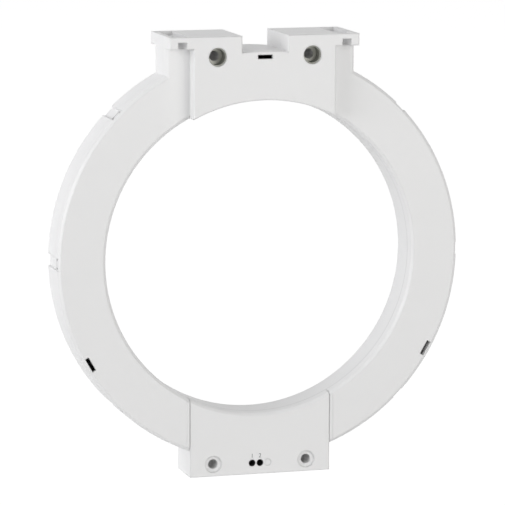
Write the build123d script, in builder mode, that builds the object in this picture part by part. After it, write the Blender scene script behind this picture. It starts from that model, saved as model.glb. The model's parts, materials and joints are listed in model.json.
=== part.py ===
from build123d import *
import os
from math import asin, cos, degrees, radians, sin

# A closed-ring residual-current transformer, in millimetres.
# The origin is the centre of the cable window. X runs across the front, Y runs away from the viewer along
# the window's axis, and Z is up, towards the foot.

# Ring housing
bore_r = 98.0
ring_width = 30.0
ring_depth = 28.0
wall = 2.5
ring_edge_bevel = 1.8
front_shell_depth = 8.0
cut_over = 1.0

# Foot block above the ring
foot_top = 137.5
foot_depth = 46.0
flange_thickness = 7.5
panel_width = 90.0
notch_width = 29.0
block_edge_bevel = 0.5
ear_wall = 2.5
ear_corner_round = 3.0

# Slots in the foot's two ears
slot_panel_gap = 7.0
slot_flange_reach = 8.0
slot_width = 5.7
slot_end_wall = 3.5
slot_recess_width = 9.5
slot_recess_depth = 2.4
slot_recess_length = 40.0
channel_height = 4.3

# Base block below the ring
base_bottom = 136.5
base_width = 90.0
base_angle = -90
seam_gap = 0.25
seam_bead_width = 1.8
seam_bead_rise = 0.25

# Four fixing holes through the two blocks
hole_spacing_x = 60.0
upper_hole_z = 125.0
lower_hole_z = -129.0
fixing_hole_r = 3.0
upper_counterbore_r = 5.75
upper_counterbore_depth = 10.0
lower_counterbore_r = 5.25
lower_counterbore_depth = 1.5
boss_wall = 2.1

# Steel cups that line the two upper counterbores and carry the screws' heads
cup_clearance = 0.05
cup_wall = 0.7
cup_floor = 1.0
cup_rim_drop = 1.6
cup_hole_play = 0.2

# Three rectangular windows in the front wall
window_length = 9.4
window_width = 2.5
window_rim_inset = 3.5
window_angles = [90, 210, 330]

# Snap catches that hold the two ring shells together
catch_angles = [0, 45, 135, 180, 225, 315]
catch_groove_width = 7.6
catch_groove_depth = 1.6
catch_front_depth = 0.75
catch_window_width = 6.2
catch_window_length = 3.2
catch_window_inset = 1.4
catch_tongue_thickness = 1.4
catch_tongue_overrun = 0.5
catch_root_length = 4.0
catch_gap = 0.2
catch_side_gap = 0.9
catch_front_gap = 0.5
catch_flush_drop = 0.2

# Ribs on the outer wall that centre the wound core
rib_count = 8
rib_thickness = 1.5
rib_first_angle = 22.5

# Layers between the ring's walls and the wound core
core_width = 11.4
core_side_gap = 0.4
pad_thickness = 2.7
pad_count = 6
pad_angle = 24.0
case_wall = 1.1
layer_gap = 0.1
winding_thickness = 1.0
winding_end_gap = 0.3
shield_thickness = 0.8
shield_gap = 0.3
shield_inset = 0.7
shield_opening = 27.0

# Three-place terminal block with two places fitted
pole_pitch = 5.08
pole_count = 3
fitted_poles = [0, 1]
terminal_z = -129.5
terminal_side_wall = 0.9
terminal_front = 7.0
terminal_head_room = 2.4
terminal_web = 0.8
terminal_back_wall = 1.5
terminal_height = 11.8
terminal_seat_gap = 0.2
terminal_rail_thickness = 1.5
terminal_rail_height = 9.0
access_hole_r = 2.15
access_guide_wall = 0.6
dimple_depth = 0.6
wire_window_width = 3.8
wire_window_length = 3.4

# Screw, rising cage and current bar of one terminal
thread_r = 1.5
thread_clearance = 0.05
screw_head_r = 1.95
screw_head_height = 1.75
screw_slot_width = 0.6
screw_slot_depth = 0.8
screw_edge_bevel = 0.2
head_clearance = 0.15
seat_clearance = 0.05
cage_travel = 2.0
cage_width = 4.2
cage_length = 5.2
cage_side_wall = 0.55
cage_top_wall = 1.5
cage_bottom_wall = 1.0
cage_clearance = 0.1
cage_end_clearance = 0.2
wire_opening = 2.5
bar_thickness = 1.0
bar_width = 2.5
bar_clearance = 0.1
bar_tag_length = 1.1
bar_end_gap = 0.1

# Leads from the winding to the terminals
lead_r = 0.45
lead_start_drop = 0.3

# Derived places
outer_r = bore_r + ring_width
front_y = -ring_depth / 2
rear_y = ring_depth / 2
part_y = front_y + front_shell_depth
foot_front_y = -foot_depth / 2
foot_rear_y = foot_depth / 2
slot_spacing = panel_width + 2 * slot_panel_gap
foot_width = slot_spacing + 2 * slot_flange_reach
cavity_in_r = bore_r + wall
cavity_out_r = outer_r - wall
cavity_front_y = front_y + wall
cavity_rear_y = rear_y - wall
flange_under = foot_top - flange_thickness
channel_top = flange_under + channel_height
window_r = outer_r - window_rim_inset
boss_r = fixing_hole_r + boss_wall

inner_shield_r = cavity_in_r + shield_gap
winding_in_r = inner_shield_r + shield_thickness + shield_gap
case_in_r = winding_in_r + winding_thickness + layer_gap
core_in_r = case_in_r + case_wall + core_side_gap
core_out_r = core_in_r + core_width
case_out_r = core_out_r + core_side_gap + case_wall
winding_out_r = case_out_r + layer_gap + winding_thickness
outer_shield_r = winding_out_r + shield_gap
winding_half = cavity_rear_y - shield_gap
shield_half = winding_half - shield_inset
case_half = winding_half - winding_thickness - layer_gap
core_half = case_half - case_wall - pad_thickness - 3 * layer_gap
rib_in_r = outer_shield_r + shield_thickness + shield_gap

window_far_y = part_y - catch_window_inset
window_near_y = window_far_y - catch_window_length
tongue_in_r = cavity_out_r - catch_gap - catch_tongue_thickness
tongue_tip_y = window_near_y - catch_tongue_overrun

terminal_front_y = -terminal_front
head_seat_y = terminal_front_y + terminal_head_room
chamber_front_y = head_seat_y + terminal_web
cage_top_y = chamber_front_y + cage_end_clearance + cage_travel
cage_inner_y = cage_top_y + cage_top_wall
bar_front_y = cage_inner_y + cage_end_clearance
bar_rear_y = bar_front_y + bar_thickness
cage_floor_y = bar_rear_y + wire_opening
cage_back_y = cage_floor_y + cage_bottom_wall
chamber_rear_y = cage_back_y + cage_end_clearance
terminal_rear_y = chamber_rear_y + terminal_back_wall
terminal_width = pole_count * pole_pitch + 2 * terminal_side_wall
terminal_bottom = -base_bottom + wall + terminal_seat_gap
terminal_top = terminal_bottom + terminal_height
pole_x = [(place - (pole_count - 1) / 2) * pole_pitch for place in range(pole_count)]
screw_x = [pole_x[place] for place in fitted_poles]
blank_x = [x for place, x in enumerate(pole_x) if place not in fitted_poles]
chamber_top = terminal_z + cage_length / 2 + cage_end_clearance
bar_top = terminal_top + bar_tag_length
bar_bottom = terminal_z - cage_length / 2 + bar_end_gap


def facing(y):
    """The sketch plane at depth y that faces the viewer, with X to the right and Z up."""
    return Plane.XZ.offset(-y)


def ray_plane(angle):
    """The plane through the bore's axis whose X points along a ray at this angle and whose Y is the axis."""
    across = (cos(radians(angle)), 0, sin(radians(angle)))
    normal = (-sin(radians(angle)), 0, cos(radians(angle)))
    return Plane(origin=(0, 0, 0), x_dir=across, z_dir=normal)


def turned(in_r, out_r, y_a, y_b, bevelled_side=None, mode=Mode.ADD):
    """A ring turned about the bore's axis between two radii and two depths."""
    with BuildSketch(Plane.XY) as outline:
        with Locations(((in_r + out_r) / 2, (y_a + y_b) / 2)):
            Rectangle(out_r - in_r, y_b - y_a)
        if bevelled_side is not None:
            chamfer(outline.vertices().group_by(Axis.Y)[bevelled_side], length=ring_edge_bevel)
    revolve(outline.sketch, axis=Axis.Y, mode=mode)


def arc_turned(in_r, out_r, y_a, y_b, first_angle, arc, wall_in=0):
    """A stretch of a ring from a first angle on, solid or with a wall all round a hollow section."""
    with BuildSketch(ray_plane(first_angle)) as outline:
        with Locations(((in_r + out_r) / 2, -(y_a + y_b) / 2)):
            Rectangle(out_r - in_r, y_b - y_a)
            if wall_in > 0:
                Rectangle(out_r - in_r - 2 * wall_in, y_b - y_a - 2 * wall_in, mode=Mode.SUBTRACT)
    revolve(outline.sketch, axis=Axis.Y, revolution_arc=-arc)


def slab(x_a, x_b, z_a, z_b, mode=Mode.ADD):
    """A rectangle in the sketch between two X values and two Z values."""
    with Locations(((x_a + x_b) / 2, (z_a + z_b) / 2)):
        Rectangle(abs(x_b - x_a), abs(z_b - z_a), mode=mode)


def foot_outline(inset):
    """The foot block's front outline, with its two flanges when it isn't inset."""
    half = panel_width / 2 - inset
    Circle(outer_r - inset)
    slab(-half, half, 0, outer_r, mode=Mode.INTERSECT)
    for side in (-1, 1):
        slab(side * (notch_width / 2 + inset), side * half, 0, foot_top - inset)
        if inset == 0:
            slab(side * notch_width / 2, side * foot_width / 2, flange_under, foot_top)
    Circle(bore_r + inset, mode=Mode.SUBTRACT)


def base_outline(inset, in_r):
    """The base block's front outline, from a radius in the ring down to the bottom face."""
    half = base_width / 2 - inset
    slab(-half, half, -base_bottom + inset, 0)
    Circle(in_r, mode=Mode.SUBTRACT)


def base_block(y_near, y_far):
    """The solid base block between two depths."""
    with BuildSketch(facing(y_near)) as outline:
        base_outline(0, bore_r + ring_width / 2)
    extrude(outline.sketch, amount=y_near - y_far)


def base_pocket(y_near, y_far):
    """The hollow inside the base block, which opens into the ring's hollow."""
    with BuildSketch(facing(y_near)) as outline:
        base_outline(wall, cavity_in_r)
    extrude(outline.sketch, amount=y_near - y_far, mode=Mode.SUBTRACT)


def foot_block(y_near, y_far):
    """The solid foot block between two depths."""
    with BuildSketch(facing(y_near)) as outline:
        foot_outline(0)
    extrude(outline.sketch, amount=y_near - y_far)


def foot_pocket(y_near, y_far):
    """The hollow inside the foot block, behind its panel."""
    with BuildSketch(facing(y_near)) as outline:
        foot_outline(wall)
    extrude(outline.sketch, amount=y_near - y_far, mode=Mode.SUBTRACT)


def ears(y_a, y_b, face_row):
    """The two stout blocks that carry the flanges beside the panel, flush with the ring's face."""
    with BuildSketch(Plane.XY.offset(cavity_in_r)) as outline:
        for side in (-1, 1):
            slab(side * (panel_width / 2 - wall), side * foot_width / 2, y_a, y_b)
        corners = outline.vertices().group_by(Axis.Y)[face_row].sort_by(Axis.X)
        fillet([corners[0], corners[-1]], radius=ear_corner_round)
    extrude(outline.sketch, amount=flange_under - cavity_in_r)


def foot_slots(y_near, y_far):
    """The slots, their recesses in the foot's face and the channels above the ears, cut between two depths."""
    reach = foot_depth / 2 - slot_end_wall
    slot_near = max(y_near, -reach)
    slot_far = min(y_far, reach)
    recess_near = max(y_near, -slot_recess_length / 2)
    recess_far = min(y_far, slot_recess_length / 2)
    cuts = [
        (y_near, y_far, slot_width, flange_under, channel_top),
        (slot_near, slot_far, slot_width, flange_under, foot_top + cut_over),
        (recess_near, recess_far, slot_recess_width, foot_top - slot_recess_depth, foot_top + cut_over),
    ]
    for near, far, width, low, high in cuts:
        with BuildSketch(facing(near)) as outline:
            for side in (-1, 1):
                middle = side * slot_spacing / 2
                slab(middle - width / 2, middle + width / 2, low, high)
        extrude(outline.sketch, amount=near - far, mode=Mode.SUBTRACT)


def ear_pockets(y_near, y_far):
    """The hollow inside each ear, between the ring's rim and the channel's floor."""
    with BuildSketch(facing(y_near)) as outline:
        for side in (-1, 1):
            inner = panel_width / 2 + ear_wall
            slab(side * inner, side * (foot_width / 2 - ear_wall), 0, flange_under - ear_wall)
        Circle(outer_r, mode=Mode.SUBTRACT)
    extrude(outline.sketch, amount=y_near - y_far, mode=Mode.SUBTRACT)


def ribs(y_near, y_far):
    """Short ribs inside the outer wall, which keep the wound core central."""
    length = cavity_out_r + wall / 2 - rib_in_r
    with BuildSketch(facing(y_near)) as outline:
        with PolarLocations(rib_in_r + length / 2, rib_count, rib_first_angle):
            Rectangle(length, rib_thickness)
    extrude(outline.sketch, amount=y_near - y_far)


def catch_cut(in_r, width, y_near, y_far):
    """A notch across the rim at every catch, from a floor radius outwards."""
    depth = outer_r + cut_over - in_r
    for angle in catch_angles:
        with BuildSketch(facing(y_near)) as outline:
            with PolarLocations(in_r + depth / 2, 1, angle):
                Rectangle(depth, width)
        extrude(outline.sketch, amount=y_near - y_far, mode=Mode.SUBTRACT)


def catch_bar(in_r, out_r, width, y_near, y_far):
    """A block at every catch, between two radii."""
    for angle in catch_angles:
        with BuildSketch(facing(y_near)) as outline:
            with PolarLocations((in_r + out_r) / 2, 1, angle):
                Rectangle(out_r - in_r, width)
        extrude(outline.sketch, amount=y_near - y_far)


def slabs_through(boxes, y_near, y_far, mode=Mode.ADD):
    """Blocks between two depths, each given by its X values and Z values."""
    with BuildSketch(facing(y_near)) as outline:
        for x_a, x_b, z_a, z_b in boxes:
            slab(x_a, x_b, z_a, z_b)
    extrude(outline.sketch, amount=y_near - y_far, mode=mode)


def rods(places, radius, y_near, y_far, mode=Mode.ADD):
    """Round rods or holes along the bore's axis, at places given as X and Z."""
    with BuildSketch(facing(y_near)) as outline:
        with Locations(*places):
            Circle(radius)
    extrude(outline.sketch, amount=y_near - y_far, mode=mode)


def front_windows():
    """The three rectangular windows in the front wall, cut along the ring's tangent."""
    with BuildSketch(facing(foot_front_y - cut_over)) as outline:
        for angle in window_angles:
            with PolarLocations(window_r, 1, angle):
                Rectangle(window_width, window_length)
    extrude(outline.sketch, amount=foot_front_y - cut_over - cavity_front_y, mode=Mode.SUBTRACT)


def seam_beads():
    """The raised beads that edge the front shell along the base cover's two seams."""
    near_y = front_y - seam_bead_rise
    with BuildSketch(facing(near_y)) as outline:
        for side in (-1, 1):
            edge = base_width / 2 + seam_gap
            slab(side * edge, side * (edge + seam_bead_width), -outer_r, 0)
        Circle(outer_r - ring_edge_bevel, mode=Mode.INTERSECT)
        Circle(bore_r + ring_edge_bevel, mode=Mode.SUBTRACT)
    extrude(outline.sketch, amount=near_y - front_y)


upper_holes = [(side * hole_spacing_x / 2, upper_hole_z) for side in (-1, 1)]
lower_holes = [(side * hole_spacing_x / 2, lower_hole_z) for side in (-1, 1)]
screws_at = [(x, terminal_z) for x in screw_x]

# Front shell: a shallow cap over the ring with the front half of the foot block. Its lower stretch is left
# open for the base cover.
with BuildPart() as front_shell:
    foot_block(foot_front_y, part_y)
    chamfer(front_shell.faces().sort_by(Axis.Y)[0].edges(), length=block_edge_bevel)
    ears(front_y, part_y, 0)
    turned(bore_r, outer_r, front_y, part_y, bevelled_side=0)
    seam_beads()
    turned(cavity_in_r, cavity_out_r, cavity_front_y, part_y, mode=Mode.SUBTRACT)
    foot_pocket(foot_front_y + wall, part_y)
    ear_pockets(cavity_front_y, part_y)
    rods(upper_holes, upper_counterbore_r + boss_wall, foot_front_y + wall / 2, cavity_front_y)
    rods(upper_holes, boss_r, foot_front_y + wall / 2, part_y)
    rods(
        upper_holes,
        upper_counterbore_r,
        foot_front_y - cut_over,
        foot_front_y + upper_counterbore_depth,
        mode=Mode.SUBTRACT,
    )
    rods(upper_holes, fixing_hole_r, foot_front_y, part_y, mode=Mode.SUBTRACT)
    foot_slots(foot_front_y - cut_over, part_y)
    ribs(cavity_front_y, part_y)
    front_windows()
    catch_cut(outer_r - catch_front_depth, catch_groove_width, front_y - cut_over, part_y)
    catch_cut(cavity_out_r - wall / 2, catch_window_width, window_near_y, window_far_y)
    opening = base_width / 2 + seam_gap
    slabs_through([(-opening, opening, -outer_r, 0)], front_y - cut_over, part_y, mode=Mode.SUBTRACT)
front_shell.part.label = "front_shell"

# Rear shell: the deep tub that holds the wound core, with the rear halves of both blocks. Its catches reach
# forward inside the front shell and show through that shell's windows.
with BuildPart() as rear_shell:
    foot_block(part_y, foot_rear_y)
    chamfer(rear_shell.faces().sort_by(Axis.Y)[-1].edges(), length=block_edge_bevel)
    ears(part_y, rear_y, -1)
    turned(bore_r, outer_r, part_y, rear_y, bevelled_side=-1)
    base_block(part_y, rear_y)
    turned(cavity_in_r, cavity_out_r, part_y, cavity_rear_y, mode=Mode.SUBTRACT)
    foot_pocket(part_y, foot_rear_y - wall)
    ear_pockets(part_y, cavity_rear_y)
    base_pocket(part_y, cavity_rear_y)
    rods(upper_holes, boss_r, part_y, foot_rear_y - wall / 2)
    rods(upper_holes, fixing_hole_r, part_y, foot_rear_y + cut_over, mode=Mode.SUBTRACT)
    rods(lower_holes, boss_r, part_y, rear_y - wall / 2)
    rods(lower_holes, fixing_hole_r, part_y, rear_y + cut_over, mode=Mode.SUBTRACT)
    foot_slots(part_y, foot_rear_y + cut_over)
    ribs(part_y, cavity_rear_y)
    catch_cut(outer_r - catch_groove_depth, catch_groove_width, part_y, rear_y + cut_over)
    tongue_width = catch_window_width - 2 * catch_side_gap
    catch_bar(tongue_in_r, tongue_in_r + catch_tongue_thickness, tongue_width, tongue_tip_y, part_y)
    catch_bar(tongue_in_r, cavity_out_r + wall / 4, tongue_width, part_y, part_y + catch_root_length)
    catch_bar(
        tongue_in_r,
        outer_r - catch_front_depth - catch_flush_drop,
        tongue_width,
        window_near_y + catch_front_gap,
        window_far_y - catch_gap,
    )
    rail_x = terminal_width / 2 + terminal_seat_gap
    floor_z = -base_bottom + wall / 2
    rails = [
        (side * rail_x, side * (rail_x + terminal_rail_thickness), floor_z, floor_z + terminal_rail_height)
        for side in (-1, 1)
    ]
    slabs_through(rails, part_y, rear_y - wall / 2)
    stops = [
        (x - terminal_rail_thickness / 2, x + terminal_rail_thickness / 2, floor_z, floor_z + terminal_rail_height)
        for x in (pole_x[0], pole_x[-1])
    ]
    slabs_through(stops, terminal_rear_y + terminal_seat_gap, rear_y - wall / 2)
    with BuildSketch(Plane.XY.offset(-base_bottom - cut_over)) as wire_windows:
        with Locations(*[(x, (bar_rear_y + cage_floor_y) / 2) for x in screw_x]):
            Rectangle(wire_window_width, wire_window_length)
    extrude(amount=wall + 2 * cut_over, mode=Mode.SUBTRACT)
rear_shell.part.label = "rear_shell"

# Base cover: the front of the base block, let into the ring's face between two open seams.
with BuildPart() as base_cover:
    turned(bore_r, outer_r, front_y, part_y, bevelled_side=0)
    slabs_through([(-base_width / 2, base_width / 2, -outer_r, 0)], front_y, part_y, mode=Mode.INTERSECT)
    base_block(front_y, part_y)
    turned(cavity_in_r, cavity_out_r, cavity_front_y, part_y, mode=Mode.SUBTRACT)
    base_pocket(cavity_front_y, part_y)
    rods(lower_holes, lower_counterbore_r + boss_wall, front_y + wall / 2, cavity_front_y + wall)
    rods(lower_holes, boss_r, front_y + wall / 2, part_y)
    rods(screws_at, access_hole_r + access_guide_wall, front_y + wall / 2, terminal_front_y - terminal_seat_gap)
    rods(
        lower_holes,
        lower_counterbore_r,
        front_y - cut_over,
        front_y + lower_counterbore_depth,
        mode=Mode.SUBTRACT,
    )
    rods(lower_holes, fixing_hole_r, front_y, part_y, mode=Mode.SUBTRACT)
    rods(screws_at, access_hole_r, front_y - cut_over, part_y, mode=Mode.SUBTRACT)
    rods(
        [(x, terminal_z) for x in blank_x],
        access_hole_r,
        front_y - cut_over,
        front_y + dimple_depth,
        mode=Mode.SUBTRACT,
    )
base_cover.part.label = "base_cover"

# Steel cups: each is pressed into an upper counterbore, so that a screw's head bears on steel and not on the
# moulding.
cup_out_r = upper_counterbore_r - cup_clearance
cup_in_r = cup_out_r - cup_wall
cup_near_y = foot_front_y + cup_rim_drop
cup_seat_y = foot_front_y + upper_counterbore_depth - cup_clearance
cups = []
for name, place in zip(("left_cup", "right_cup"), upper_holes):
    with BuildPart() as cup:
        rods([place], cup_out_r, cup_near_y, cup_seat_y)
        rods([place], cup_in_r, cup_near_y - cut_over, cup_seat_y - cup_floor, mode=Mode.SUBTRACT)
        rods([place], fixing_hole_r + cup_hole_play, cup_near_y, cup_seat_y + cut_over, mode=Mode.SUBTRACT)
    cup.part.label = name
    cups.append(cup)

# Core: thin nickel-iron strip wound into a ring.
with BuildPart() as core:
    turned(core_in_r, core_out_r, -core_half, core_half)
core.part.label = "core"

# Core case: a moulded tray that keeps the winding's pull off the strip, and the lid let into its mouth.
with BuildPart() as core_case:
    turned(case_in_r, case_out_r, -case_half, case_half)
    turned(
        case_in_r + case_wall,
        case_out_r - case_wall,
        -case_half,
        case_half - case_wall,
        mode=Mode.SUBTRACT,
    )
core_case.part.label = "core_case"

with BuildPart() as core_case_lid:
    lid_inset = case_wall + layer_gap
    turned(case_in_r + lid_inset, case_out_r - lid_inset, -case_half, -case_half + case_wall)
core_case_lid.part.label = "core_case_lid"

# Foam pads in front of the core and behind it, between the lid and the floor of its case.
pad_start = core_half + layer_gap
pad_angles = [360 / pad_count * place for place in range(pad_count)]
with BuildPart() as front_pads:
    for angle in pad_angles:
        arc_turned(core_in_r, core_out_r, -pad_start - pad_thickness, -pad_start, angle, pad_angle)
front_pads.part.label = "front_pads"

with BuildPart() as rear_pads:
    for angle in pad_angles:
        arc_turned(core_in_r, core_out_r, pad_start, pad_start + pad_thickness, angle, pad_angle)
rear_pads.part.label = "rear_pads"

# Secondary winding: one close layer of enamelled wire and its tape, all round the case but for a gap above
# the two terminals, where its ends come out.
lead_r_outer = lead_r + winding_end_gap
gap_first = degrees(asin((screw_x[0] - lead_r_outer) / case_out_r))
gap_last = degrees(asin((screw_x[-1] + lead_r_outer) / case_out_r))
with BuildPart() as secondary_winding:
    arc_turned(
        winding_in_r,
        winding_out_r,
        -winding_half,
        winding_half,
        base_angle + gap_last,
        360 - (gap_last - gap_first),
        wall_in=winding_thickness,
    )
secondary_winding.part.label = "secondary_winding"

# Screening bands inside and outside the winding. The outer one stops short so that the leads can pass.
with BuildPart() as inner_shield:
    turned(inner_shield_r, inner_shield_r + shield_thickness, -shield_half, shield_half)
inner_shield.part.label = "inner_shield"

with BuildPart() as outer_shield:
    shield_end = degrees(asin(shield_opening / 2 / outer_shield_r))
    arc_turned(
        outer_shield_r,
        outer_shield_r + shield_thickness,
        -shield_half,
        shield_half,
        base_angle + shield_end,
        360 - 2 * shield_end,
    )
outer_shield.part.label = "outer_shield"

# Terminal body: one moulding with a screw bore, a cage chamber and a bar slot at each place that is fitted.
with BuildPart() as terminal_body:
    slabs_through(
        [(-terminal_width / 2, terminal_width / 2, terminal_bottom, terminal_top)],
        terminal_front_y,
        terminal_rear_y,
    )
    rods(
        screws_at,
        screw_head_r + head_clearance,
        terminal_front_y - cut_over,
        head_seat_y,
        mode=Mode.SUBTRACT,
    )
    rods(screws_at, thread_r + head_clearance, terminal_front_y, chamber_front_y + cut_over, mode=Mode.SUBTRACT)
    chamber_half = cage_width / 2 + cage_clearance
    chambers = [(x - chamber_half, x + chamber_half, terminal_bottom - cut_over, chamber_top) for x in screw_x]
    slabs_through(chambers, chamber_front_y, chamber_rear_y, mode=Mode.SUBTRACT)
    slot_half = bar_width / 2 + bar_clearance
    bar_slots = [(x - slot_half, x + slot_half, terminal_z, terminal_top + cut_over) for x in screw_x]
    slabs_through(bar_slots, bar_front_y - bar_clearance, bar_rear_y + bar_clearance, mode=Mode.SUBTRACT)
terminal_body.part.label = "terminal_body"

# Each fitted place has a current bar that ends above the body as a solder tag, a rising cage, and a slotted
# screw that turns in place: the cage's threaded wall climbs it and clamps the wire against the bar's back.
head_back_y = head_seat_y - seat_clearance
head_front_y = head_back_y - screw_head_height
cage_inner_half = cage_width / 2 - cage_side_wall
terminal_parts = []
for number, x in enumerate(screw_x, start=1):
    with BuildPart() as bar:
        slabs_through([(x - bar_width / 2, x + bar_width / 2, bar_bottom, bar_top)], bar_front_y, bar_rear_y)
    bar.part.label = f"terminal_bar_{number}"

    with BuildPart() as cage:
        with BuildSketch(Plane.XY.offset(terminal_z - cage_length / 2)) as cage_section:
            slab(x - cage_width / 2, x + cage_width / 2, cage_top_y, cage_back_y)
            fillet(cage_section.vertices(), radius=cage_side_wall / 2)
            slab(x - cage_inner_half, x + cage_inner_half, cage_inner_y, cage_floor_y, mode=Mode.SUBTRACT)
        extrude(amount=cage_length)
        rods([(x, terminal_z)], thread_r, cage_top_y, cage_inner_y, mode=Mode.SUBTRACT)
    cage.part.label = f"terminal_cage_{number}"

    with BuildPart() as screw:
        rods([(x, terminal_z)], screw_head_r, head_front_y, head_back_y)
        chamfer(screw.faces().sort_by(Axis.Y)[0].edges(), length=screw_edge_bevel)
        rods([(x, terminal_z)], thread_r - thread_clearance, head_back_y, bar_front_y - seat_clearance)
        driver_slot = (
            x - screw_head_r,
            x + screw_head_r,
            terminal_z - screw_slot_width / 2,
            terminal_z + screw_slot_width / 2,
        )
        slabs_through([driver_slot], head_front_y, head_front_y + screw_slot_depth, mode=Mode.SUBTRACT)
    screw.part.label = f"terminal_screw_{number}"
    terminal_parts += [bar, cage, screw]

# Leads: the winding's two ends, sleeved, brought down through the gap in the bands to the solder tags.
leads = []
for name, x in zip(("start_lead", "finish_lead"), screw_x):
    with BuildPart() as lead:
        with BuildSketch(Plane.XY.offset(terminal_top + layer_gap)) as lead_section:
            with Locations((x, bar_rear_y + layer_gap + lead_r)):
                Circle(lead_r)
        extrude(amount=-(case_out_r + lead_start_drop) - (terminal_top + layer_gap))
    lead.part.label = name
    leads.append(lead)

os.makedirs("parts", exist_ok=True)
for made in [
    front_shell,
    rear_shell,
    base_cover,
    *cups,
    core,
    core_case,
    core_case_lid,
    front_pads,
    rear_pads,
    secondary_winding,
    inner_shield,
    outer_shield,
    terminal_body,
    *terminal_parts,
    *leads,
]:
    export_step(made.part, f"parts/{made.part.label}.step")
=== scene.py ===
# %% [markdown]
# # A closed-ring current transformer
#
# The real thing is a moulded plastic ring that all the live conductors of a circuit pass through. Inside it,
# out of sight, a strip-wound core carries one layer of wire, and two screw terminals bring the wire's ends
# out at the bottom. The shape is already made: the frame brings every piece in at its real size and place,
# in metres, with X to the right, Y away from the viewer and Z up. What is left for this script is what each
# piece is made of, how its surface was made, and the studio that it stands in.

# %% Load the frame
import bmesh
import bpy
import json
import math
from mathutils import Matrix, Vector


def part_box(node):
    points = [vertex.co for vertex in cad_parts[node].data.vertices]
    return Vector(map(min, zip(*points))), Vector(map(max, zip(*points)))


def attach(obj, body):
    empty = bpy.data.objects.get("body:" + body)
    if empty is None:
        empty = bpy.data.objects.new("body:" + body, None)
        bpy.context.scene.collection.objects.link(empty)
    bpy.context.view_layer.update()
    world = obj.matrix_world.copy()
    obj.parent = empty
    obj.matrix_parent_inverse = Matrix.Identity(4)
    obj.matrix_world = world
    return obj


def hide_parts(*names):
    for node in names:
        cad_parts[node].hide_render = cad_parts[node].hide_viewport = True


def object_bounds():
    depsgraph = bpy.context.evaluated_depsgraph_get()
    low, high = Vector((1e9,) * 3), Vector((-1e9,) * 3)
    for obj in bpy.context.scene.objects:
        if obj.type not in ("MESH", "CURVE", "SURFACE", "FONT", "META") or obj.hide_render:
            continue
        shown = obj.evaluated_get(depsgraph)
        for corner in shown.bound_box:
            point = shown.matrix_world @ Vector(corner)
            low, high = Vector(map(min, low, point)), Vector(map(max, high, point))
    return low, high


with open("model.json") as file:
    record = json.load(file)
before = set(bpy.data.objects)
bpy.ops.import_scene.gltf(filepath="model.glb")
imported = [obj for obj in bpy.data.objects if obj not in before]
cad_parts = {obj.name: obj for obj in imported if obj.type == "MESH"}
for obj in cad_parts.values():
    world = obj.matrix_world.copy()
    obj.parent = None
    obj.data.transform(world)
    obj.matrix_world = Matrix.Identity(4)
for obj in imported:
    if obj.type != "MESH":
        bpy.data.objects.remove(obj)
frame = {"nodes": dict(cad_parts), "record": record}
cad_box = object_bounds()
MM = 0.001
print("CAD box in mm:", [[round(v / MM, 1) for v in corner] for corner in cad_box])

# %% [markdown]
# ## A few helpers
#
# Colours are easiest to judge as the hex values that a screen shows, but a shader works in linear light, so
# one function turns the first into the second. Shader nodes are easiest to read when each one is added in a
# single line with its settings and its links, so one small function does that for every kind of node. Three
# more start a material, finish it, and put a new object into the scene.

# %% Colour from a hex value
def linear(hex_colour):
    """The linear RGBA of an sRGB colour such as '#E8E8EA'."""
    channels = [int(hex_colour[i:i + 2], 16) / 255 for i in (1, 3, 5)]
    return [c / 12.92 if c <= 0.04045 else ((c + 0.055) / 1.055) ** 2.4 for c in channels] + [1.0]


def darker(hex_colour, share):
    """The linear RGBA of a colour that gives back only a share of its light."""
    return [c * share for c in linear(hex_colour)[:3]] + [1.0]


print("mid grey #808080 in linear light:", [round(c, 3) for c in linear("#808080")[:3]])


# %% Add a shader node
def add_node(tree, kind, settings=None, **inputs):
    """Adds a node with its settings. Inputs are values, or sockets to link from, by socket name."""
    node = tree.nodes.new(kind)
    for name, value in (settings or {}).items():
        setattr(node, name, value)
    for name, value in inputs.items():
        socket = node.inputs[int(name[1:]) if name[0] == "_" else name.replace("_", " ")]
        if isinstance(value, bpy.types.NodeSocket):
            tree.links.new(value, socket)
        else:
            socket.default_value = value
    return node


def new_material(name):
    """An empty node material and its output node."""
    material = bpy.data.materials.new(name)
    material.use_nodes = True
    material.node_tree.nodes.clear()
    return material, material.node_tree.nodes.new("ShaderNodeOutputMaterial")


def finish_material(material, output, shader):
    """Joins a shader to the material's output."""
    material.node_tree.links.new(shader.outputs[0], output.inputs["Surface"])
    return material


def add_object(name, data):
    """A new object in the scene that shows a mesh, a text, a lamp or a camera."""
    added = bpy.data.objects.new(name, data)
    bpy.context.scene.collection.objects.link(added)
    return added


# %% [markdown]
# ## The housing: moulded PC/ABS
#
# The shells are PC/ABS, a tough white plastic injected into a steel tool. The tool was finished by spark
# erosion, which leaves a fine dull grain on the moulding: it scatters the light, so the plastic looks
# matt from the front and only shows a soft sheen at a shallow angle. The grain of such a tool is about
# 0.1 mm wide, which is too fine for this picture, so it is drawn 0.6 mm wide and very shallow, and the gloss
# varies a little with it. A second, much larger pattern lets the surface wave by a few hundredths of a
# millimetre, as a wall of that thickness does when it shrinks. A third, in clouds 14 mm wide, varies the
# shade by one part in a hundred or so.
#
# No moulded corner is sharp. The solids carry plain bevels along the ring's edges, so the material rounds
# them when it is lit: a Bevel node bends the normals near each edge as a small radius would.
#
# The shells meet edge to edge all round the inside of the window. Each edge has a tiny radius of its own, so
# shade falls along the joint as a faint line, and that shade is painted into the colour. It is about 0.4 mm
# wide, and the painted shade is drawn 1.2 mm wide and only a little darker, because the window's wall is seen
# at such a shallow angle. The line lies where the front shell ends, so its place is read from that shell's
# box, and the window's radius from the record.

# %% The painted shade where the shells meet
WINDOW_R = frame["record"]["mounts"][0]["dims"]["r_mm"] * MM
JOINT_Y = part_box("front_shell")[1].y
JOINT_LINE = 1.2 * MM
JOINT_SHADE_DARK = 0.9
WALL_TOLERANCE = 0.2 * MM


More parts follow.
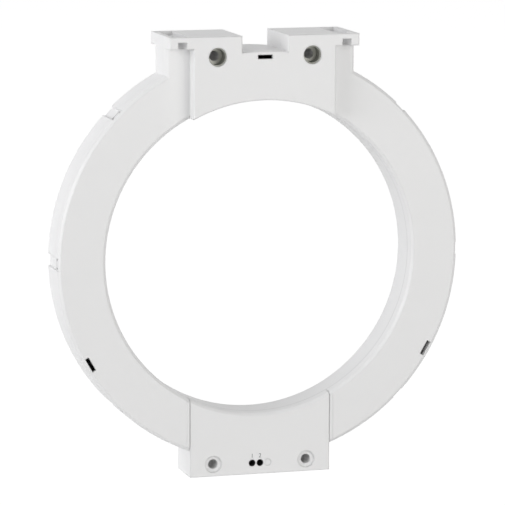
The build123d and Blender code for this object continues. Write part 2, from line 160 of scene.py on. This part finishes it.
def joint_line(tree, place, colour):
    """Darkens a colour with painted shade along the line where the shells meet on the window's wall."""
    parts = add_node(tree, "ShaderNodeSeparateXYZ", Vector=place)
    across = add_node(tree, "ShaderNodeCombineXYZ", X=parts.outputs["X"], Y=parts.outputs["Z"])
    radius = add_node(tree, "ShaderNodeVectorMath", {"operation": "LENGTH"}, _0=across.outputs[0])
    on_wall = add_node(
        tree,
        "ShaderNodeMath",
        {"operation": "LESS_THAN"},
        _0=radius.outputs["Value"],
        _1=WINDOW_R + WALL_TOLERANCE,
    )
    near = add_node(
        tree,
        "ShaderNodeMath",
        {"operation": "COMPARE"},
        _0=parts.outputs["Y"],
        _1=JOINT_Y,
        _2=JOINT_LINE / 2,
    )
    line = add_node(
        tree, "ShaderNodeMath", {"operation": "MULTIPLY"}, _0=on_wall.outputs[0], _1=near.outputs[0]
    )
    dark = add_node(tree, "ShaderNodeMapRange", Value=line.outputs[0], To_Min=1.0, To_Max=JOINT_SHADE_DARK)
    lined = add_node(
        tree, "ShaderNodeMix", {"data_type": "RGBA", "blend_type": "MULTIPLY"}, _0=1.0, _6=colour
    )
    tree.links.new(dark.outputs[0], lined.inputs[7])
    return lined.outputs[2]


print("shells meet at y =", round(JOINT_Y / MM, 1), "mm, on a wall of radius", round(WINDOW_R / MM, 1), "mm")


# %% Moulded PC/ABS
WAVE_MM = 45.0
CLOUD_MM = 14.0


def moulded_plastic(name, colour, roughness, edge_radius, grain_mm=0.6, ior=1.58, with_joint_shade=False):
    """A matt moulded plastic with spark-eroded grain, slow waves and rounded edges."""
    material, output = new_material(name)
    tree = material.node_tree
    place = add_node(tree, "ShaderNodeTexCoord").outputs["Object"]
    grain = add_node(
        tree, "ShaderNodeTexNoise", Vector=place, Scale=1 / (grain_mm * MM), Detail=2.0, Roughness=0.6
    )
    wave = add_node(tree, "ShaderNodeTexNoise", Vector=place, Scale=1 / (WAVE_MM * MM), Detail=1.0)
    cloud = add_node(tree, "ShaderNodeTexNoise", Vector=place, Scale=1 / (CLOUD_MM * MM), Detail=3.0)
    tint = add_node(tree, "ShaderNodeMapRange", Value=cloud.outputs["Fac"], To_Min=0.985, To_Max=1.0)
    shade = add_node(
        tree, "ShaderNodeMix", {"data_type": "RGBA", "blend_type": "MULTIPLY"}, _0=1.0, _6=linear(colour)
    )
    tree.links.new(tint.outputs[0], shade.inputs[7])
    # Where the shells meet, painted shade darkens the colour, if the material asks for it.
    surface = joint_line(tree, place, shade.outputs[2]) if with_joint_shade else shade.outputs[2]
    gloss = add_node(
        tree,
        "ShaderNodeMapRange",
        Value=grain.outputs["Fac"],
        To_Min=roughness - 0.05,
        To_Max=roughness + 0.05,
    )
    edges = add_node(tree, "ShaderNodeBevel", {"samples": 6}, Radius=edge_radius * MM)
    waves = add_node(
        tree,
        "ShaderNodeBump",
        Strength=0.25,
        Distance=0.05 * MM,
        Height=wave.outputs["Fac"],
        Normal=edges.outputs[0],
    )
    grains = add_node(
        tree,
        "ShaderNodeBump",
        Strength=0.20,
        Distance=0.02 * MM,
        Height=grain.outputs["Fac"],
        Normal=waves.outputs[0],
    )
    shader = add_node(
        tree,
        "ShaderNodeBsdfPrincipled",
        Base_Color=surface,
        Roughness=gloss.outputs[0],
        IOR=ior,
        Normal=grains.outputs[0],
    )
    return finish_material(material, output, shader)


housing_plastic = moulded_plastic("moulded white PC/ABS", "#E7E7E7", 0.46, edge_radius=1.2, with_joint_shade=True)
print(housing_plastic.name, "nodes:", len(housing_plastic.node_tree.nodes))

# %% [markdown]
# ## The other plastics
#
# The core's case is moulded too, in black glass-filled PBT, which keeps its size under a tight winding. The
# terminal body is black polyamide 66, the usual material that carries screws and live bars because it
# doesn't burn easily. Glass filling makes a surface rougher, and polyamide is a little shinier, so
# the same recipe serves with other numbers.

# %% Glass-filled PBT and polyamide
case_plastic = moulded_plastic("moulded black glass-filled PBT", "#232427", 0.55, edge_radius=0.3)
terminal_plastic = moulded_plastic("moulded black polyamide 66", "#2E2F31", 0.38, edge_radius=0.2, ior=1.53)
print("plastics:", housing_plastic.name, "|", case_plastic.name, "|", terminal_plastic.name)

# %% [markdown]
# ## The metals
#
# The terminals' cages are zinc-plated steel, a grey that is bright but never a mirror, clouded by the plating
# bath. Their screws are plated in the same way and then passivated black, so they look nearly black down in
# their holes. The current bars are brass with a thin matt coat of tin, so that they can be soldered. The core
# is nickel-iron strip, rolled to a few hundredths of a millimetre and wound like a roll of tape, so its sides
# show the strip's edges as fine circles round the axis. The screening bands are cold-rolled steel with the
# lines of the roll along them. One recipe makes the plated ones, the metal's own colour with a roughness that
# a noise varies, and a second one adds a pattern stretched along the strip for the rolled ones.

# %% Plated and rolled metals
def plated_metal(name, colour, roughness, cloud_mm):
    """A plated metal whose gloss is clouded in patches."""
    material, output = new_material(name)
    tree = material.node_tree
    place = add_node(tree, "ShaderNodeTexCoord").outputs["Object"]
    cloud = add_node(tree, "ShaderNodeTexNoise", Vector=place, Scale=1 / (cloud_mm * MM), Detail=4.0)
    gloss = add_node(
        tree,
        "ShaderNodeMapRange",
        Value=cloud.outputs["Fac"],
        To_Min=roughness - 0.1,
        To_Max=roughness + 0.1,
    )
    edges = add_node(tree, "ShaderNodeBevel", {"samples": 4}, Radius=0.1 * MM)
    shader = add_node(
        tree,
        "ShaderNodeBsdfPrincipled",
        Base_Color=linear(colour),
        Metallic=1.0,
        Roughness=gloss.outputs[0],
        Normal=edges.outputs[0],
    )
    return finish_material(material, output, shader)


def rolled_strip(name, colour, roughness, strip_mm):
    """Rolled metal seen with its fine lines as circles round the window's axis."""
    material, output = new_material(name)
    tree = material.node_tree
    place = add_node(tree, "ShaderNodeTexCoord").outputs["Object"]
    parts = add_node(tree, "ShaderNodeSeparateXYZ", Vector=place)
    across = add_node(tree, "ShaderNodeCombineXYZ", X=parts.outputs["X"], Y=parts.outputs["Z"])
    radius = add_node(tree, "ShaderNodeVectorMath", {"operation": "LENGTH"}, _0=across.outputs[0])
    line = add_node(tree, "ShaderNodeCombineXYZ", X=radius.outputs["Value"], Y=parts.outputs["Y"])
    lines = add_node(
        tree, "ShaderNodeTexNoise", Vector=line.outputs[0], Scale=1 / (strip_mm * MM), Detail=2.0
    )
    gloss = add_node(
        tree,
        "ShaderNodeMapRange",
        Value=lines.outputs["Fac"],
        To_Min=roughness - 0.08,
        To_Max=roughness + 0.12,
    )
    bump = add_node(tree, "ShaderNodeBump", Strength=0.3, Distance=0.02 * MM, Height=lines.outputs["Fac"])
    shader = add_node(
        tree,
        "ShaderNodeBsdfPrincipled",
        Base_Color=linear(colour),
        Metallic=1.0,
        Roughness=gloss.outputs[0],
        Normal=bump.outputs[0],
    )
    return finish_material(material, output, shader)


zinc_plated = plated_metal("zinc-plated steel", "#A3A6AA", 0.38, cloud_mm=1.5)
black_zinc = plated_metal("zinc-plated steel, black-passivated", "#4A4B4B", 0.42, cloud_mm=1.5)
tinned_brass = plated_metal("tin-plated brass", "#C9C6BE", 0.42, cloud_mm=1.0)
core_strip = rolled_strip("wound nickel-iron strip", "#A6A5A3", 0.34, strip_mm=0.25)
shield_strip = rolled_strip("cold-rolled steel band", "#9EA0A3", 0.40, strip_mm=0.4)
print("plated:", zinc_plated.name, "|", black_zinc.name, "|", tinned_brass.name)
print("rolled:", core_strip.name, "|", shield_strip.name)

# %% [markdown]
# ## The cups in the upper holes
#
# Each upper fixing hole is lined with a steel cup that was turned on a lathe and then phosphated. Phosphating
# grows a layer of fine dark crystals on the steel, which takes the shine off and leaves it an olive grey. The
# lathe tool leaves a fine spiral that looks like rings round the hole. Real turning marks are about 0.1 mm
# apart, which is too fine for this picture, so the rings are drawn 1 mm apart: a sine of the depth along the
# hole gives their height.
#
# The floor of the cup, where the screw's head bears, is painted much paler than the wall: this is painted
# light, the light that falls on the floor of the hole. The depth along the hole tells the two apart.

# %% Turned and phosphated steel
CUP_FLOOR = 1.0 * MM
SEAT_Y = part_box("left_cup")[1].y - CUP_FLOOR
SEAT_TOLERANCE = 0.02 * MM
CRYSTAL_MM = 0.3


def turned_steel(name, colour, roughness, ring_mm, lit_seat_colour):
    """Dull phosphated steel with turning marks as rings along Y, and a paler seat at the bottom as painted
    light.
    """
    material, output = new_material(name)
    tree = material.node_tree
    place = add_node(tree, "ShaderNodeTexCoord").outputs["Object"]
    parts = add_node(tree, "ShaderNodeSeparateXYZ", Vector=place)
    pitch = ring_mm * MM
    phase = add_node(
        tree, "ShaderNodeMath", {"operation": "MULTIPLY"}, _0=parts.outputs["Y"], _1=2 * math.pi / pitch
    )
    ring = add_node(tree, "ShaderNodeMath", {"operation": "SINE"}, _0=phase.outputs[0])
    crystals = add_node(tree, "ShaderNodeTexNoise", Vector=place, Scale=1 / (CRYSTAL_MM * MM), Detail=3.0)
    tone = add_node(
        tree, "ShaderNodeMix", {"data_type": "RGBA"}, _6=darker(colour, 0.6), _7=linear(colour)
    )
    tree.links.new(crystals.outputs["Fac"], tone.inputs[0])
    # From the seat's depth on, the colour is painted paler: painted light on the floor of the hole.
    painted_light_on_seat = add_node(
        tree,
        "ShaderNodeMath",
        {"operation": "GREATER_THAN"},
        _0=parts.outputs["Y"],
        _1=SEAT_Y - SEAT_TOLERANCE,
    )
    steel = add_node(
        tree, "ShaderNodeMix", {"data_type": "RGBA"}, _6=tone.outputs[2], _7=linear(lit_seat_colour)
    )
    tree.links.new(painted_light_on_seat.outputs[0], steel.inputs[0])
    bump = add_node(tree, "ShaderNodeBump", Strength=0.6, Distance=0.15 * MM, Height=ring.outputs[0])
    shader = add_node(
        tree,
        "ShaderNodeBsdfPrincipled",
        Base_Color=steel.outputs[2],
        Metallic=0.4,
        Roughness=roughness,
        Normal=bump.outputs[0],
    )
    return finish_material(material, output, shader)


phosphated_steel = turned_steel(
    "turned and phosphated steel", "#ABACA4", 0.5, ring_mm=1.0, lit_seat_colour="#C2C2BA"
)
# The seat from that depth on is painted paler, as painted light.
print("cups:", phosphated_steel.name, "with a bare seat from y =", round(SEAT_Y / MM, 2), "mm")

# %% [markdown]
# ## Wire, foam and sleeves
#
# The winding is copper wire with a coat of enamel, laid turn beside turn round the case. Each turn runs
# round the ring's section, so over the whole ring the turns lie like spokes, and the enamel makes the copper
# look darker and glossy. A wave pattern needs to follow the angle round the axis for that: Math nodes give
# the angle, and a sine of it, times the number of turns, gives the ridges. The real wire is 0.4 mm thick, and
# is drawn at that size.
#
# The pads are black polyurethane foam with open cells of about 0.5 mm. The leads are covered with braided
# glass-fibre sleeve, which looks like fine cloth.

# %% Enamelled copper wire
WINDING_R = (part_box("secondary_winding")[1].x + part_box("inner_shield")[1].x) / 2
WIRE_MM = 0.4


def wound_wire(name, colour, groove_shade_colour, wire_mm, radius):
    """Enamelled wire whose turns lie like spokes round the window's axis, with painted shade in the grooves
    between turns.
    """
    material, output = new_material(name)
    tree = material.node_tree
    place = add_node(tree, "ShaderNodeTexCoord").outputs["Object"]
    parts = add_node(tree, "ShaderNodeSeparateXYZ", Vector=place)
    angle = add_node(
        tree, "ShaderNodeMath", {"operation": "ARCTAN2"}, _0=parts.outputs["Z"], _1=parts.outputs["X"]
    )
    turns = round(2 * math.pi * radius / (wire_mm * MM))
    phase = add_node(tree, "ShaderNodeMath", {"operation": "MULTIPLY"}, _0=angle.outputs[0], _1=turns)
    ridge = add_node(tree, "ShaderNodeMath", {"operation": "SINE"}, _0=phase.outputs[0])
    height = add_node(tree, "ShaderNodeMapRange", Value=ridge.outputs[0], From_Min=-1.0, From_Max=1.0)
    # The grooves between the turns are painted darker: painted shade in the creases between the wires.
    tone = add_node(tree, "ShaderNodeMix", {"data_type": "RGBA"}, _6=linear(groove_shade_colour), _7=linear(colour))
    tree.links.new(height.outputs[0], tone.inputs[0])
    bump = add_node(tree, "ShaderNodeBump", Strength=0.8, Distance=wire_mm / 2 * MM, Height=height.outputs[0])
    shader = add_node(
        tree,
        "ShaderNodeBsdfPrincipled",
        Base_Color=tone.outputs[2],
        Metallic=0.6,
        Roughness=0.3,
        Coat_Weight=0.5,
        Coat_Roughness=0.15,
        Normal=bump.outputs[0],
    )
    print(name, "turns round the ring:", turns)
    return finish_material(material, output, shader)


enamelled_copper = wound_wire("enamelled copper wire", "#9A4A22", "#4A1E0C", WIRE_MM, WINDING_R)


# %% Foam and glass-fibre sleeve
def soft_surface(name, colour, cell_mm, kind, roughness, depth_mm):
    """A dull surface broken up by cells, such as foam's bubbles or a braid's strands, with painted shade down
    in each cell.
    """
    material, output = new_material(name)
    tree = material.node_tree
    place = add_node(tree, "ShaderNodeTexCoord").outputs["Object"]
    cells = add_node(tree, "ShaderNodeTexVoronoi", {"feature": kind}, Vector=place, Scale=1 / (cell_mm * MM))
    # Each cell is painted darker towards its hollow middle: painted shade down in the cell.
    tone = add_node(
        tree, "ShaderNodeMix", {"data_type": "RGBA"}, _6=darker(colour, 0.45), _7=linear(colour)
    )
    tree.links.new(cells.outputs["Distance"], tone.inputs[0])
    bump = add_node(
        tree, "ShaderNodeBump", Strength=0.7, Distance=depth_mm * MM, Height=cells.outputs["Distance"]
    )
    shader = add_node(
        tree,
        "ShaderNodeBsdfPrincipled",
        Base_Color=tone.outputs[2],
        Roughness=roughness,
        Sheen_Weight=0.3,
        Normal=bump.outputs[0],
    )
    return finish_material(material, output, shader)


foam = soft_surface("open-cell polyurethane foam", "#3A3B3E", 0.5, "F1", 0.95, depth_mm=0.3)
glass_sleeve = soft_surface("braided glass-fibre sleeve", "#2B2C2F", 0.2, "F1", 0.8, depth_mm=0.1)
print("soft:", foam.name, "|", glass_sleeve.name)

# %% [markdown]
# ## Giving each piece its material
#
# The record says which material slot each node belongs to, so one table from slot to material dresses the
# whole part, and a piece can't be forgotten: the loop stops with an error if a slot has no entry.

# %% Dress the nodes
MATERIAL_OF_SLOT = {
    "housing": housing_plastic,
    "core_strip": core_strip,
    "case_plastic": case_plastic,
    "foam": foam,
    "enamelled_wire": enamelled_copper,
    "shield_steel": shield_strip,
    "terminal_plastic": terminal_plastic,
    "bar_brass": tinned_brass,
    "plated_steel": zinc_plated,
    "cup_steel": phosphated_steel,
    "lead_sleeve": glass_sleeve,
}
for piece in frame["record"]["subparts"]:
    node = frame["nodes"][piece["node"]]
    node.data.materials.clear()
    node.data.materials.append(MATERIAL_OF_SLOT[piece["material_slot"]])

# %% [markdown]
# ## The terminal screws
#
# Each terminal has an M3 screw, and its thread is too fine for the solids, which carry a plain rod there. The
# thread can be made as a grid of points wrapped round the rod: one direction goes round the screw and the
# other along it, and each point's radius follows the thread's V. On a right-hand screw the V moves one pitch
# along for each turn clockwise. The head keeps the solid's own shape, so its mesh is copied and the rod is
# cut off it, and the thread takes the rod's place inside the same outline.

# %% The M3 thread's sizes
THREAD_PITCH = 0.5 * MM
THREAD_DEPTH = 0.28 * MM
HEAD_HEIGHT = 1.75 * MM
RUNOUT = 0.3 * MM
STEPS_ROUND = 28
STEPS_PER_PITCH = 10
BEHIND_HEAD = 0.1 * MM
CUT_TOLERANCE = 0.001 * MM


def thread_radius(along, turn, length, crest_r):
    """The radius of a right-hand thread at a distance along the screw and a part of a turn."""
    phase = (along / THREAD_PITCH + turn) % 1.0
    valley = 1.0 - abs(2.0 * phase - 1.0)
    full = min(1.0, along / RUNOUT)
    tip = max(0.0, 1.0 - (length - along) / RUNOUT)
    return crest_r - THREAD_DEPTH * max(valley * full, tip)


print("thread: M3, pitch", round(THREAD_PITCH / MM, 2), "mm, depth", round(THREAD_DEPTH / MM, 2), "mm")


# %% Build the threaded rod
def threaded_rod(mesh, centre_x, centre_z, near_y, far_y, crest_r):
    """Adds a closed threaded rod along Y to a mesh under construction."""
    length = far_y - near_y
    rows = round(length / THREAD_PITCH * STEPS_PER_PITCH)
    rings = []
    for row in range(rows + 1):
        along = length * row / rows
        ring = []
        for step in range(STEPS_ROUND):
            turn = step / STEPS_ROUND
            radius = thread_radius(along, turn, length, crest_r)
            angle = 2 * math.pi * turn
            x, z = centre_x + radius * math.cos(angle), centre_z + radius * math.sin(angle)
            ring.append(mesh.verts.new((x, near_y + along, z)))
        rings.append(ring)
    for low_ring, high_ring in zip(rings, rings[1:]):
        for step in range(STEPS_ROUND):
            after = (step + 1) % STEPS_ROUND
            face = mesh.faces.new((low_ring[step], high_ring[step], high_ring[after], low_ring[after]))
            face.smooth = True
    mesh.faces.new(rings[0])
    mesh.faces.new(reversed(rings[-1]))
    return len(rings)


# %% Two screws with threads
def threaded_screw(number):
    """The solid's head and a threaded rod in place of its plain one, riding on the screw's body."""
    node = frame["nodes"][f"terminal_screw_{number}"]
    low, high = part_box(node.name)
    head_back = low.y + HEAD_HEIGHT
    centre_x, centre_z = (low.x + high.x) / 2, (low.z + high.z) / 2
    crest_r = max(v.co.x for v in node.data.vertices if v.co.y > head_back + BEHIND_HEAD) - centre_x
    mesh = bmesh.new()
    mesh.from_mesh(node.data)
    bmesh.ops.bisect_plane(
        mesh,
        geom=mesh.verts[:] + mesh.edges[:] + mesh.faces[:],
        dist=CUT_TOLERANCE,
        plane_co=(0, head_back, 0),
        plane_no=(0, 1, 0),
        clear_outer=True,
    )
    rings = threaded_rod(mesh, centre_x, centre_z, head_back, high.y, crest_r)
    bmesh.ops.recalc_face_normals(mesh, faces=mesh.faces[:])
    data = bpy.data.meshes.new(f"threaded_screw_{number}")
    mesh.to_mesh(data)
    mesh.free()
    data.materials.clear()
    data.materials.append(black_zinc)
    screw = add_object(data.name, data)
    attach(screw, f"screw_{number}")
    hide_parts(node.name)
    print(screw.name, "radius", round(crest_r / MM, 2), "mm,", rings, "rings,", len(data.polygons), "faces")


for number in (1, 2):
    threaded_screw(number)

# %% [markdown]
# ## The linings of the screw holes
#
# The screws sit deep behind the cover, and each hole that leads a screwdriver to one holds a thin sleeve of
# black polyamide: painted shade, a dark sheet put where the deep hole is in shade. A sleeve is the
# simplest closed tube there is: its section is a thin rectangle, and joining each step of it round the hole
# to the next one gives the wall, both ends and the bore.

# %% Two black sleeves of painted shade
ACCESS_HOLE_R = 2.15 * MM
SLEEVE_PLAY = 0.01 * MM
SLEEVE_WALL = 0.12 * MM
SLEEVE_INSET = 0.35 * MM
SLEEVE_STEPS = 40


def lining_sleeve(number):
    """A thin black tube of painted shade in the hole in front of a terminal's screw."""
    low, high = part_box(f"terminal_screw_{number}")
    centre_x, centre_z = (low.x + high.x) / 2, (low.z + high.z) / 2
    near_y, far_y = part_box("base_cover")[0].y + SLEEVE_INSET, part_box("terminal_body")[0].y - SLEEVE_INSET
    outer_r = ACCESS_HOLE_R - SLEEVE_PLAY
    section = [
        (outer_r, near_y), (outer_r, far_y), (outer_r - SLEEVE_WALL, far_y), (outer_r - SLEEVE_WALL, near_y)
    ]
    mesh = bmesh.new()
    steps = []
    for step in range(SLEEVE_STEPS):
        angle = 2 * math.pi * step / SLEEVE_STEPS
        steps.append([
            mesh.verts.new((centre_x + radius * math.cos(angle), y, centre_z + radius * math.sin(angle)))
            for radius, y in section
        ])
    for near, far in zip(steps, steps[1:] + steps[:1]):
        for i in range(len(section)):
            j = (i + 1) % len(section)
            mesh.faces.new((near[i], near[j], far[j], far[i]))
    bmesh.ops.recalc_face_normals(mesh, faces=mesh.faces[:])
    data = bpy.data.meshes.new(f"lining_sleeve_{number}")
    mesh.to_mesh(data)
    mesh.free()
    # The sleeve's black is painted shade in the hole.
    data.materials.append(terminal_plastic)
    sleeve = add_object(data.name, data)
    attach(sleeve, "housing")
    print(sleeve.name, "length", round((far_y - near_y) / MM, 1), "mm, faces", len(data.polygons))


for number in (1, 2):
    lining_sleeve(number)

# %% [markdown]
# ## The terminal numbers
#
# Small plain numbers are printed above the two screws, so that the installer knows which wire goes where.
# They are pad-printed: a silicone pad lays down grey ink a few hundredths of a millimetre thick. A text
# object makes them, laid just proud of the face, because a print has no visible thickness of its own. In
# Blender's own font a figure is 0.7 of the text's size high, so the size is worked out from the height.

# %% Pad-printed numbers
PRINT_HEIGHT = 2.6 * MM
PRINT_PROUD = 0.02 * MM
PRINT_ABOVE_SCREW = 1.4 * MM
FIGURE_SHARE = 0.7
INK_SPECK_MM = 0.3
ink_material, ink_output = new_material("grey pad-printing ink")
ink_tree = ink_material.node_tree
ink_place = add_node(ink_tree, "ShaderNodeTexCoord").outputs["Object"]
ink_speck = add_node(
    ink_tree, "ShaderNodeTexNoise", Vector=ink_place, Scale=1 / (INK_SPECK_MM * MM), Detail=2.0
)
ink_tone = add_node(
    ink_tree, "ShaderNodeMix", {"data_type": "RGBA"}, _6=linear("#55575B"), _7=linear("#6E7074")
)
ink_tree.links.new(ink_speck.outputs["Fac"], ink_tone.inputs[0])
ink_shader = add_node(
    ink_tree, "ShaderNodeBsdfPrincipled", Base_Color=ink_tone.outputs[2], Roughness=0.6
)
finish_material(ink_material, ink_output, ink_shader)

cover_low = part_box("base_cover")[0]
for number in (1, 2):
    low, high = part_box(f"terminal_screw_{number}")
    text = bpy.data.curves.new(f"terminal_number_{number}", "FONT")
    text.body = str(number)
    text.size = PRINT_HEIGHT / FIGURE_SHARE
    text.align_x = "CENTER"
    text.materials.append(ink_material)
    mark = add_object(text.name, text)
    mark.rotation_euler = (math.pi / 2, 0, 0)
    mark.location = ((low.x + high.x) / 2, cover_low.y - PRINT_PROUD, high.z + PRINT_ABOVE_SCREW)
    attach(mark, "housing")
print("numbers printed above the screws, each", round(PRINT_HEIGHT / MM, 1), "mm high")

# %% [markdown]
# ## The studio
#
# The part stands on its base block on a white sweep. The floor has to look white all the way to the top of
# the picture without more lamps on the part, so its material answers the camera with a glow just short of
# white, and the light that falls on it makes up the rest. Where the part keeps that light off, a faint
# shadow stays. Glossy rays get the same answer, so that the screws reflect a white room, and all other rays
# find plain matt white paper.

# %% White floor
def white_for_camera(name, glow_strength, lit_share):
    """Matt white paper that the camera sees as a glow plus a share of the light that falls on it."""
    material, output = new_material(name)
    tree = material.node_tree
    path = add_node(tree, "ShaderNodeLightPath")
    seen = add_node(
        tree,
        "ShaderNodeMath",
        {"operation": "MAXIMUM"},
        _0=path.outputs["Is Camera Ray"],
        _1=path.outputs["Is Glossy Ray"],
    )
    matt = add_node(tree, "ShaderNodeBsdfDiffuse", Color=linear("#F2F2F2"))
    glow = add_node(tree, "ShaderNodeEmission", Color=linear("#FFFFFF"), Strength=glow_strength)
    lit = add_node(tree, "ShaderNodeBsdfDiffuse", Color=(lit_share, lit_share, lit_share, 1.0))
    white = add_node(tree, "ShaderNodeAddShader", _0=glow.outputs[0], _1=lit.outputs[0])
    mixed = add_node(
        tree, "ShaderNodeMixShader", _0=seen.outputs[0], _1=matt.outputs[0], _2=white.outputs[0]
    )
    return finish_material(material, output, mixed)


FLOOR_HALF = 6.0
floor_z = cad_box[0].z
corners = [(-1, -1), (1, -1), (1, 1), (-1, 1)]
floor_mesh = bpy.data.meshes.new("floor")
floor_mesh.from_pydata([(x * FLOOR_HALF, y * FLOOR_HALF, floor_z) for x, y in corners], [], [(0, 1, 2, 3)])
floor_mesh.materials.append(white_for_camera("white paper sweep", glow_strength=0.94, lit_share=0.16))
floor = add_object("floor", floor_mesh)
print("floor at z =", round(floor_z / MM, 1), "mm")

# %% [markdown]
# ## Light
#
# The photograph is lit softly from the left: the ring's left rim is its brightest side, the front is a
# little darker, and the faces that look up are the darkest of the outside, so no strong lamp hangs above.
# Light adds up, so each lamp's share can be found by rendering the part under one lamp at a time and asking
# which sum of those pictures comes nearest to the photograph. That gave large softboxes at the left front and
# the right front, a weak one straight on the left, a weak one high up at the left rear, which lights the
# window's wall, and an even fill from all round, which the world gives.

# %% World and lamps
world = bpy.data.worlds.new("studio")
bpy.context.scene.world = world
world.use_nodes = True
sky = world.node_tree
sky.nodes.clear()
sky_path = add_node(sky, "ShaderNodeLightPath")
sky_seen = add_node(
    sky,
    "ShaderNodeMath",
    {"operation": "MAXIMUM"},
    _0=sky_path.outputs["Is Camera Ray"],
    _1=sky_path.outputs["Is Glossy Ray"],
)
FILL = 0.32
fill = add_node(sky, "ShaderNodeBackground", Color=linear("#FFFFFF"), Strength=FILL)
white = add_node(sky, "ShaderNodeBackground", Color=linear("#FFFFFF"), Strength=1.0)
sky_mix = add_node(
    sky, "ShaderNodeMixShader", _0=sky_seen.outputs[0], _1=fill.outputs[0], _2=white.outputs[0]
)
sky_out = sky.nodes.new("ShaderNodeOutputWorld")
sky.links.new(sky_mix.outputs[0], sky_out.inputs["Surface"])


def area_lamp(name, place, size, power, colour):
    """A square area lamp that faces the centre of the window."""
    data = bpy.data.lights.new(name, "AREA")
    data.size = size
    data.energy = power
    data.color = linear(colour)[:3]
    lamp = add_object(name, data)
    lamp.location = place
    lamp.rotation_euler = (-Vector(place)).to_track_quat("-Z", "Y").to_euler()
    return lamp


area_lamp("softbox at the left front", (-2.45, -0.95, 0.45), 1.8, 36.2, "#FEFEFF")
area_lamp("softbox on the left", (-2.62, 0.0, 0.45), 1.8, 11.3, "#FDFDFF")
area_lamp("softbox at the right front", (1.3, -2.4, 0.5), 1.8, 34.2, "#FFFEFC")
area_lamp("softbox high at the left rear", (-1.3, 1.6, 1.9), 1.6, 14.4, "#FDFDFF")

# %% [markdown]
# ## Camera
#
# The photograph was taken with a long lens from the left, 16.3 degrees round from the front and 9.1
# degrees above the horizon, 2.14 m away. The focal length follows from the size of the ring in the picture,
# and a very small shift puts the window's centre at the right pixel.

# %% Camera at the photograph's angle
AZIMUTH, ELEVATION, ROLL = 16.336, 9.10, 0.18
DISTANCE = 2.14303
IMAGE_PX = 505
FOCAL_PX = 3458.76
CENTRE_PX = (254.304, 253.476)
camera_data = bpy.data.cameras.new("camera")
camera_data.sensor_width = 36.0
camera_data.lens = FOCAL_PX / IMAGE_PX * camera_data.sensor_width
camera_data.shift_x = (IMAGE_PX / 2 - CENTRE_PX[0]) / IMAGE_PX
camera_data.shift_y = (CENTRE_PX[1] - IMAGE_PX / 2) / IMAGE_PX
camera = add_object("camera", camera_data)
azimuth, elevation = math.radians(AZIMUTH), math.radians(ELEVATION)
back = Vector(
    (-math.sin(azimuth) * math.cos(elevation), -math.cos(azimuth) * math.cos(elevation), math.sin(elevation))
)
camera.location = back * DISTANCE
camera.rotation_euler = (
    (-back).to_track_quat("-Z", "Y").to_matrix() @ Matrix.Rotation(math.radians(ROLL), 3, "Z")
).to_euler()
bpy.context.scene.camera = camera
bpy.context.scene.view_settings.view_transform = "Standard"
print("lens", round(camera_data.lens, 1), "mm at", round(DISTANCE, 3), "m")
